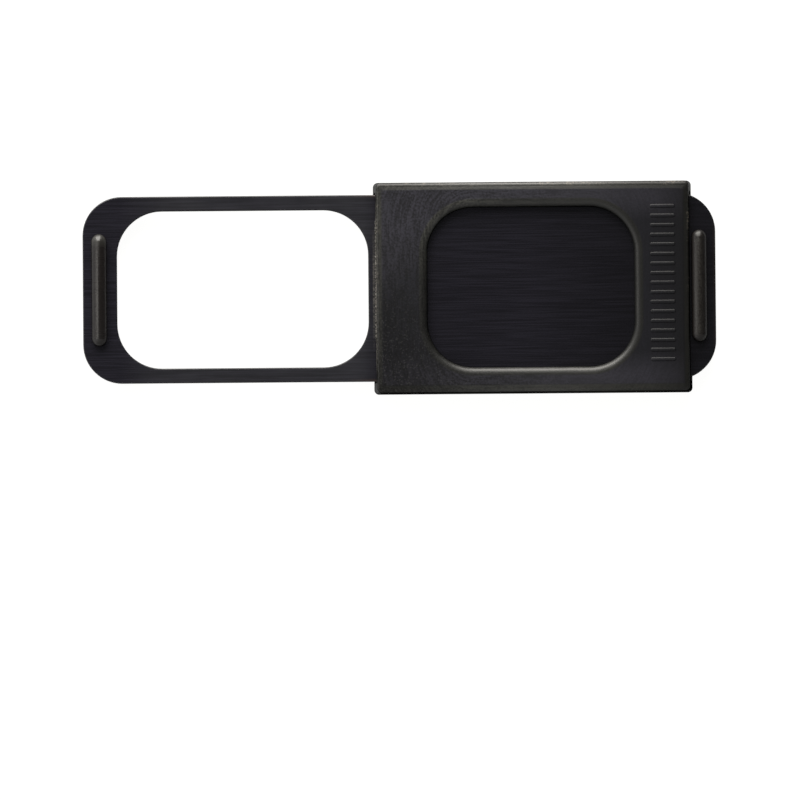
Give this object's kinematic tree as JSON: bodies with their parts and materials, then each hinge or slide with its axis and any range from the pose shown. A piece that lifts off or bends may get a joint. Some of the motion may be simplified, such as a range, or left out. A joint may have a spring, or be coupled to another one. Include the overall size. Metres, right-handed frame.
{
  "type": "webcam cover slider",
  "caption": "Flat black sleeve with a rounded window, stuck over a camera lens, and a thin windowed plate with finger ribs that slides through it to open or shut the view.",
  "frame": {"origin": "centre of the window, on the back face of the adhesive, which meets the screen frame round the lens", "axes": "+X along the plate, the way it slides to open the window; +Y across the plate; +Z out of the front"},
  "size_m": [0.0331, 0.011, 0.0015],
  "materials": {
    "sleeve_plastic": "satin moulded",
    "slider_plastic": "satin, fine lines along its length",
    "adhesive": "soft sheen"
  },
  "bodies": {
    "sleeve_body": {"sleeve": "sleeve_plastic", "adhesive_frame": "adhesive"},
    "slider_body": {"slider": "slider_plastic"}
  },
  "joints": [
    {"name": "open_slide", "type": "slide", "parent": "sleeve_body", "child": "slider_body", "axis": [1, 0, 0], "range_m": [0, 0.01395]}
  ]
}
